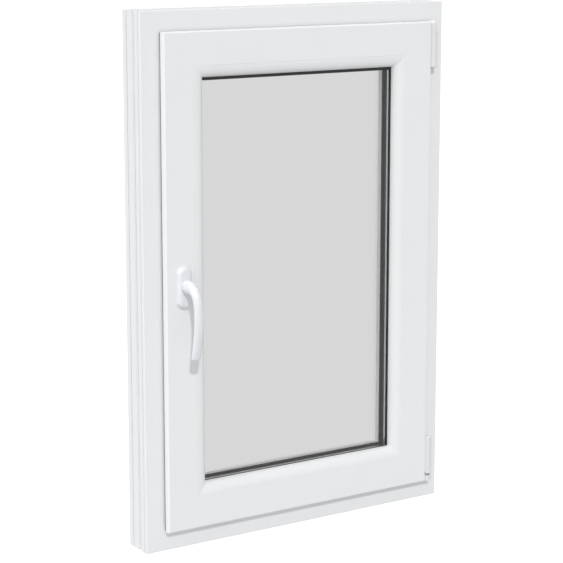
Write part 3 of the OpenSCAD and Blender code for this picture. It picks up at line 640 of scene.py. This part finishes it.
def lever():
    bm = bmesh.new()
    ring = bmesh.ops.create_circle(bm, cap_ends=True, segments=16, radius=1)["verts"]
    line = [Vector((0, -out, z)) for out, z, _, _ in LEVER_LINE]
    for i, (out, z, half_w, half_t) in enumerate(LEVER_LINE):
        ahead = line[min(i + 1, len(line) - 1)] - line[max(i - 1, 0)]
        across, along = Vector((1, 0, 0)), ahead.normalized()
        turn = Matrix((across, along.cross(across), along)).transposed()
        if i:
            grown = bmesh.ops.extrude_face_region(bm, geom=[tip])["geom"]
            bmesh.ops.delete(bm, geom=[tip], context="FACES_ONLY")
            ring = verts_only(grown)
            middle = sum((v.co for v in ring), Vector()) / len(ring)
            bmesh.ops.translate(bm, vec=-middle, verts=ring)
            bmesh.ops.rotate(bm, matrix=last_turn.inverted(), verts=ring)
            bmesh.ops.scale(bm, vec=(1 / last_w, 1 / last_t, 1), verts=ring)
            tip = faces_only(grown)[0]
        else:
            tip = bm.faces[:][0]
        bmesh.ops.scale(bm, vec=(half_w, half_t, 1), verts=ring)
        bmesh.ops.rotate(bm, matrix=turn, verts=ring)
        bmesh.ops.translate(bm, vec=line[i], verts=ring)
        last_turn, last_w, last_t = turn, half_w, half_t
    bmesh.ops.inset_region(bm, faces=[tip], thickness=TIP_INSET, depth=TIP_CROWN)
    return in_metres(bm, SPINDLE)


grip = finished("handle_lever_cast", lever(), handle_coat, "handle", ["handle_lever"], sharp_deg=80)
smooth = grip.modifiers.new("smooth", "SUBSURF")
smooth.levels = smooth.render_levels = 2
grip.modifiers.move(1, 0)     # the skin is smoothed first, and shaded evenly after that

# %% [markdown]
# A square bar runs from the lever through the rosette into the gearbox and turns it. It ends inside the
# lever's neck: a longer one would come out through the elbow.

# %% Square spindle inside the neck
SQUARE, IN_NECK, IN_SASH = 7, 30, 30.5


def spindle():
    bm = bmesh.new()
    bmesh.ops.create_cube(bm, size=1)
    bmesh.ops.scale(bm, vec=(SQUARE, IN_NECK + IN_SASH, SQUARE), verts=bm.verts)
    rounded(bm, bm.edges[:], 0.5, 2)
    bmesh.ops.translate(bm, vec=(0, (IN_SASH - IN_NECK) / 2, 0), verts=bm.verts)
    return in_metres(bm, SPINDLE)


finished("handle_spindle_bar", spindle(), zinc_level, "handle", ["handle_spindle"])

# %% [markdown]
# The rosette hides the two fixing screws. It is a circle pulled apart into an oval with straight sides,
# raised into a block, and rolled over at its rim in many small steps, because coarse ones would show as
# facets in its highlight.

# %% Rosette cover
ROSETTE_ROUND, ROSETTE_HALF, ROSETTE_HIGH, ROSETTE_ROLL = 13.5, 35, 9, 7


def rosette():
    """An oval cap whose edge rolls over in a wide soft radius."""
    bm = bmesh.new()
    bmesh.ops.create_circle(bm, cap_ends=True, segments=96, radius=ROSETTE_ROUND)
    straight = ROSETTE_HALF - ROSETTE_ROUND
    upper, lower = [v for v in bm.verts if v.co.y > 1e-4], [v for v in bm.verts if v.co.y < -1e-4]
    bmesh.ops.translate(bm, vec=(0, straight, 0), verts=upper)
    bmesh.ops.translate(bm, vec=(0, -straight, 0), verts=lower)
    rim = bm.faces[:][0]
    grown = bmesh.ops.extrude_face_region(bm, geom=[rim])["geom"]
    bmesh.ops.translate(bm, vec=(0, 0, ROSETTE_HIGH), verts=verts_only(grown))
    rounded(bm, list(faces_only(grown)[0].edges), ROSETTE_ROLL, 14)
    bmesh.ops.rotate(bm, matrix=Matrix.Rotation(math.radians(90), 3, "X"), verts=bm.verts)
    return in_metres(bm, SPINDLE)


finished("rosette_shell", rosette(), handle_coat, "sash", ["rosette_cover"], sharp_deg=50)

# %% [markdown]
# ## Hinges, keepers and drive gear
# Stamped and cast hardware has a small broken edge everywhere, and that edge is what catches the light.
# The engineering shapes are right, so a copy of each is joined into one skin, cleared of the lines inside
# its flats and then bevelled. A bevel on the loose triangles would open them like a fan, which is why the
# joining comes first. The hinge caps get a wider rounding on top, where a moulded cap is domed.

# %% Hardware with broken edges
JOIN = 0.005                   # mm within which points of the engineering triangles are one point
FLAT, CREASE = math.radians(0.5), math.radians(34)


def joined(cad):
    """An engineering part as a bmesh with its triangles sewn together."""
    bm = bmesh.new()
    bm.from_mesh(bpy.data.objects[cad].data)
    bmesh.ops.remove_doubles(bm, verts=bm.verts, dist=JOIN * MM)
    return bm


def creases(bm):
    return [e for e in bm.edges if len(e.link_faces) == 2 and e.calc_face_angle(0) > CREASE]


def softened(cad, material, radius, dome=None, slack=1.0):
    """A copy of an engineering part with rounded edges. dome = (height, radius) rounds what is above more,
    and slack below 1 slims a pin across its length so that it turns freely."""
    bm = joined(cad)
    bmesh.ops.dissolve_limit(bm, angle_limit=FLAT, verts=bm.verts, edges=bm.edges)
    if slack != 1.0:
        middle = sum(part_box(cad), Vector()) / 2
        bmesh.ops.scale(bm, vec=(slack, slack, 1), space=Matrix.Translation(-middle), verts=bm.verts)
    if dome:
        height, dome_radius = dome
        high = [e for e in creases(bm) if min(v.co.z for v in e.verts) > height * MM]
        if high:
            rounded(bm, high, dome_radius * MM, 6)
    rounded(bm, creases(bm), radius * MM, 2)
    return finished(cad + "_worn", bm, material, body_of_node[cad], [cad],
                    sharp_deg=40)


for cad, coat, radius, dome in (
        ("stay_band", cap_white, 0.3, (863.5, 1.9)), ("stay_bearing", cap_white, 0.5, None),
        ("hinge_band_cap", cap_white, 0.3, (113.5, 1.9)), ("corner_bearing_cover", cap_white, 0.35, None),
        ("corner_bearing", cap_white, 0.3, None), ("hinge_band", cap_white, 0.3, None),
        ("stay_pin", zinc_upright, 0.3, None), ("corner_pivot", zinc_upright, 0.3, None),
        ("stay_arm", zinc_level, 0.25, None),
        ("keepers", zinc_upright, 0.25, None), ("gearbox_housing", zinc_upright, 0.4, None),
        ("lock_faceplate", zinc_upright, 0.2, None), ("top_faceplate", zinc_level, 0.2, None),
        ("bottom_faceplate", zinc_level, 0.2, None), ("top_corner_drive", zinc_level, 0.25, None),
        ("bottom_corner_drive", zinc_level, 0.25, None), ("lock_rod", zinc_upright, 0.2, None),
        ("lock_cams", zinc_upright, 0.4, None), ("top_rod", zinc_level, 0.2, None),
        ("top_cam", zinc_level, 0.4, None), ("bottom_rod", zinc_level, 0.2, None),
        ("bottom_cam", zinc_level, 0.4, None), ("setting_blocks", packer_blue, 0.6, None),
        ("rosette_base", zinc_upright, 0.3, None)):
    softened(cad, coat, radius, dome)
softened("arm_rivet", zinc_level, 0.2, slack=0.97)

# %% [markdown]
# ## Screws
# Each screw head is low and slightly domed, with a six-lobed star recess. A round recess wouldn't do: the
# lobes come from moving every other point of an inset ring in or out before the floor is pushed down.
# The places are read back from the engineering parts, one screw for each separate solid.

# %% Finding the separate solids of a part
def solids_in(cad):
    """The points of each separate solid in an engineering part, in millimetres."""
    bm = joined(cad)
    waiting, found = set(bm.verts), []
    for start in bm.verts:
        if start not in waiting:
            continue
        waiting.discard(start)
        chain = [start]
        for vert in chain:
            for edge in vert.link_edges:
                other = edge.other_vert(vert)
                if other in waiting:
                    waiting.discard(other)
                    chain.append(other)
        found.append([vert.co / MM for vert in chain])
    bm.free()
    return found


def span_of(points):
    """Lowest and highest corner of a list of points."""
    return [Vector(pick(p[i] for p in points) for i in range(3)) for pick in (min, max)]


print("screws on the faceplates:", len(solids_in("faceplate_screws")))

# %% [markdown]
# One screw is drawn standing up, once for each place. Its sizes are shares of the head's radius and
# height, so the small faceplate screws and the long rosette screws come from the same few lines.

# %% Screws with star recesses
LOBES, LOBE_SWING = 6, 0.13


def screw(shank_r, length, head_r, head_h):
    """A screw along +Z whose head stands on z = 0."""
    bm = bmesh.new()
    bmesh.ops.create_cone(bm, cap_ends=True, segments=24, radius1=head_r, radius2=head_r, depth=head_h)
    bmesh.ops.translate(bm, vec=(0, 0, head_h / 2), verts=bm.verts)
    top = max(bm.faces, key=lambda face: face.calc_center_median().z)
    rounded(bm, list(top.edges), head_h * 0.6, 3)
    top = max(bm.faces, key=lambda face: face.calc_center_median().z)
    bmesh.ops.inset_region(bm, faces=[top], thickness=head_r * 0.3)
    for vert in top.verts:
        swing = 1 + LOBE_SWING * math.cos(LOBES * math.atan2(vert.co.y, vert.co.x))
        bmesh.ops.scale(bm, vec=(swing, swing, 1), verts=[vert])
    grown = bmesh.ops.extrude_face_region(bm, geom=[top])["geom"]
    bmesh.ops.delete(bm, geom=[top], context="FACES_ONLY")
    bmesh.ops.translate(bm, vec=(0, 0, -head_h * 0.75), verts=verts_only(grown))
    shank = bmesh.new()
    bmesh.ops.create_cone(shank, cap_ends=True, segments=16, radius1=shank_r * 0.6, radius2=shank_r,
                          depth=length)
    bmesh.ops.translate(shank, vec=(0, 0, -length / 2), verts=shank.verts)
    return merged(bm, shank)


print("star recess with", LOBES, "lobes")

# %% [markdown]
# The way a screw points is measured and not given: across its round axis both sizes are equal, and its
# head is at the wider end. Then the same call serves the band, the bearings, the keepers and the rosette.

# %% Screws in their places
def screws(cad, shank_r, head_h, material):
    """A screw for each solid of the part, along its round axis, with the head at its wider end."""
    whole = bmesh.new()
    places = solids_in(cad)
    for points in places:
        low, high = span_of(points)
        size, middle = high - low, (low + high) / 2
        axis = min(range(3), key=lambda i: abs(size[(i + 1) % 3] - size[(i + 2) % 3]))
        side = (axis + 1) % 3
        reach = [max((abs(p[side] - middle[side]) for p in points if abs(p[axis] - end) < 0.05), default=0)
                 for end in (low[axis], high[axis])]
        way = 1 if reach[1] > reach[0] else -1
        toward, foot = Vector((0, 0, 0)), middle.copy()
        toward[axis] = way
        foot[axis] = (high[axis] - head_h) if way > 0 else (low[axis] + head_h)
        turn = Vector((0, 0, 1)).rotation_difference(toward).to_matrix().to_4x4()
        one = screw(shank_r, size[axis] - head_h, size[side] / 2, head_h)
        merged(whole, one, Matrix.Scale(MM, 4) @ Matrix.Translation(foot) @ turn)
    print(cad, "screws:", len(places))
    return finished(cad + "_star", whole, material, body_of_node[cad], [cad],
                    sharp_deg=30)


screws("bearing_screws", 1.75, 0.8, cap_white)
screws("band_screws", 1.75, 0.8, zinc_upright)
screws("keeper_screws", 1.95, 0.8, zinc_upright)
screws("faceplate_screws", 1.75, 0.5, zinc_upright)
screws("rosette_screws", 2.45, 2.8, zinc_upright)

# %% [markdown]
# ## Drain caps and hole caps
# Outside, a small hood covers each drain slot so that wind can't blow rain back in. Its outer edges are
# soft and its underside is hollow. Inside, flat push-in caps close the holes of the screws that hold the
# frame in the wall.

# %% Hoods over the drain slots
HOOD_OUT, HOOD_ROUND = 3, 2.2


def hoods():
    whole = bmesh.new()
    for points in solids_in("drain_caps"):
        low, high = span_of(points)
        hood = bmesh.new()
        bmesh.ops.create_cube(hood, size=1)
        bmesh.ops.scale(hood, vec=(high.x - low.x, HOOD_OUT, high.z - low.z), verts=hood.verts)
        rounded(hood, [e for e in hood.edges if all(v.co.y > 0 for v in e.verts)], HOOD_ROUND, 5)
        under = min(hood.faces, key=lambda face: face.calc_center_median().z - face.calc_area() * 0.01)
        bmesh.ops.inset_region(hood, faces=[under], thickness=0.25, depth=-1.5)
        middle = ((low.x + high.x) / 2, (DEPTH + HOOD_OUT) / 2, (low.z + high.z) / 2)
        bmesh.ops.translate(hood, vec=middle, verts=hood.verts)
        merged(whole, hood, Matrix.Scale(MM, 4))
    return whole


finished("drain_hoods", hoods(), cap_white, "frame", ["drain_caps"], sharp_deg=40)

# %% [markdown]
# The frame is screwed to the wall through its jambs, and a shallow cap closes each hole. The caps have no
# engineering part of their own, so their places are given here, mirrored from jamb to jamb.

# %% Caps on the fixing holes
FROM_CORNER, CAP_IN, CAP_BACK, CAP_RADIUS, CAP_HIGH = 150, 40.5, 35, 6, 1


def hole_caps():
    whole = bmesh.new()
    for side in ("lock", "hinge"):
        for height in (FROM_CORNER, HEIGHT - FROM_CORNER):
            cap = bmesh.new()
            bmesh.ops.create_cone(cap, cap_ends=True, segments=40, radius1=CAP_RADIUS, radius2=CAP_RADIUS,
                                  depth=CAP_HIGH)
            top = max(cap.faces, key=lambda face: face.calc_center_median().z)
            rounded(cap, list(top.edges), 0.7, 4)
            lie = Matrix.Translation((CAP_IN, CAP_BACK, height)) @ Matrix.Rotation(math.radians(90), 4, "Y")
            merged(whole, cap, SIDES[side] @ lie)
    return whole


finished("fixing_hole_caps", hole_caps(), cap_white, "frame", sharp_deg=40)

# %% [markdown]
# The steel stiffeners and the pinion are hidden inside the bars and the gearbox. Their engineering shape
# is good enough as it is, so they stay and only take a finish.

# %% Materials for the parts that keep their own shape
KEPT = {"frame_steel": galvanised, "sash_steel": galvanised, "drive_pinion": zinc_upright}
for cad, coat in KEPT.items():
    for place in bpy.data.objects[cad].material_slots:
        place.material = coat
print("kept as they are:", sorted(KEPT))

# %% [markdown]
# ## Floor, light and camera
# A pale floor lies well below the sill, because the tipped sash dips under it. A narrow sun stands
# in front, high and a little to the left, and casts the crisp shadows under the sash and the handle. Two
# wide ones wash the left side and the top, and the glow of the surroundings fills what is left.

# %% Floor
AMBIENT = 0.578                # glow of the surroundings as the window sees them
THROUGH_GLASS = 0.70           # the same surroundings as the panes show them, even and without shadows
FLOOR_Z, FLOOR_GREY, FLOOR_GLOW = -0.30, 0.66, 0.56


def lay_floor():
    """A wide pale sheet that looks white by its own glow and takes soft shadows."""
    stage = bmesh.new()
    bmesh.ops.create_grid(stage, x_segments=1, y_segments=1, size=60)
    bmesh.ops.translate(stage, vec=(0, 0, FLOOR_Z), verts=stage.verts)
    mesh = bpy.data.meshes.new("floor")
    stage.to_mesh(mesh)
    stage.free()
    floor = bpy.data.objects.new("floor", mesh)
    bpy.context.scene.collection.objects.link(floor)
    material, tree, surface, _ = new_material("pale_floor", Roughness=0.9, Specular_IOR_Level=0.0,
                                              Emission_Strength=1.0)
    ray = tree.nodes.new("ShaderNodeLightPath")
    between(tree, ray.outputs["Is Transmission Ray"], (FLOOR_GREY,) * 3, (0.0,) * 3,
            surface.inputs["Base Color"])
    glow = maths(tree, "ADD", maths(tree, "MULTIPLY", ray.outputs["Is Camera Ray"], FLOOR_GLOW),
                 maths(tree, "MULTIPLY", ray.outputs["Is Transmission Ray"], THROUGH_GLASS))
    tree.links.new(glow, surface.inputs["Emission Color"])
    mesh.materials.append(material)
    print("floor at", FLOOR_Z)


lay_floor()

# %% [markdown]
# The surroundings are one even glow, white to the eye and dimmer as a light. Each sun is named for what it
# does; its spread in degrees sets how soft its shadows are.

# %% Surroundings and suns
SUNS = [("front_key", (-0.327, -0.727, 0.604), 1.2, 3), ("side_wash", (-0.80, -0.02, 0.60), 0.95, 30),
        ("top_wash", (0.0, -0.02, 1.0), 0.3, 40)]     # name, where it stands, strength, spread


def light_room():
    world = bpy.data.worlds.new("soft_room")
    bpy.context.scene.world = world
    world.use_nodes = True
    tree = world.node_tree
    ray = tree.nodes.new("ShaderNodeLightPath")
    glow = tree.nodes["Background"]
    extra = maths(tree, "ADD", maths(tree, "MULTIPLY", ray.outputs["Is Camera Ray"], 1.0 - AMBIENT),
                  maths(tree, "MULTIPLY", ray.outputs["Is Transmission Ray"], THROUGH_GLASS - AMBIENT))
    tree.links.new(maths(tree, "ADD", extra, AMBIENT), glow.inputs["Strength"])
    glow.inputs["Color"].default_value = (1, 1, 1, 1)
    for name, toward, strength, spread in SUNS:
        light = bpy.data.lights.new(name, "SUN")
        light.energy, light.angle = strength, math.radians(spread)
        lamp = bpy.data.objects.new(name, light)
        lamp.rotation_mode = "QUATERNION"
        lamp.rotation_quaternion = Vector(toward).to_track_quat("Z", "Y")
        bpy.context.scene.collection.objects.link(lamp)
    print("suns:", [name for name, *_ in SUNS])


light_room()
bpy.context.scene.view_settings.view_transform = "Standard"

# %% [markdown]
# The camera stands to the left and a little above, with a long lens, so the window looks as it does from
# across a room. It looks down slightly, and a small shift of the lens takes up the rest of the framing.

# %% Camera
SENSOR, NEAR, FAR = 36, 0.05, 200


def stand_camera(place, azimuth, elevation, lens, shift_y):
    """A camera at a place that looks along an azimuth, in degrees, and down by an elevation."""
    camera = bpy.data.objects.new("camera", bpy.data.cameras.new("camera"))
    camera.data.lens, camera.data.sensor_width = lens, SENSOR
    camera.data.shift_y = shift_y
    camera.data.clip_start, camera.data.clip_end = NEAR, FAR
    a, e = math.radians(azimuth), math.radians(elevation)
    back = Vector((math.sin(a) * math.cos(e), -math.cos(a) * math.cos(e), math.sin(e)))
    camera.location = place
    camera.rotation_mode = "QUATERNION"
    camera.rotation_quaternion = (-back).to_track_quat("-Z", "Y")
    bpy.context.scene.collection.objects.link(camera)
    bpy.context.scene.camera = camera
    print("camera at", place)


stand_camera((-1.6577, -2.5829, 1.0567), azimuth=-32.457, elevation=10.24, lens=116.09, shift_y=-0.0773)
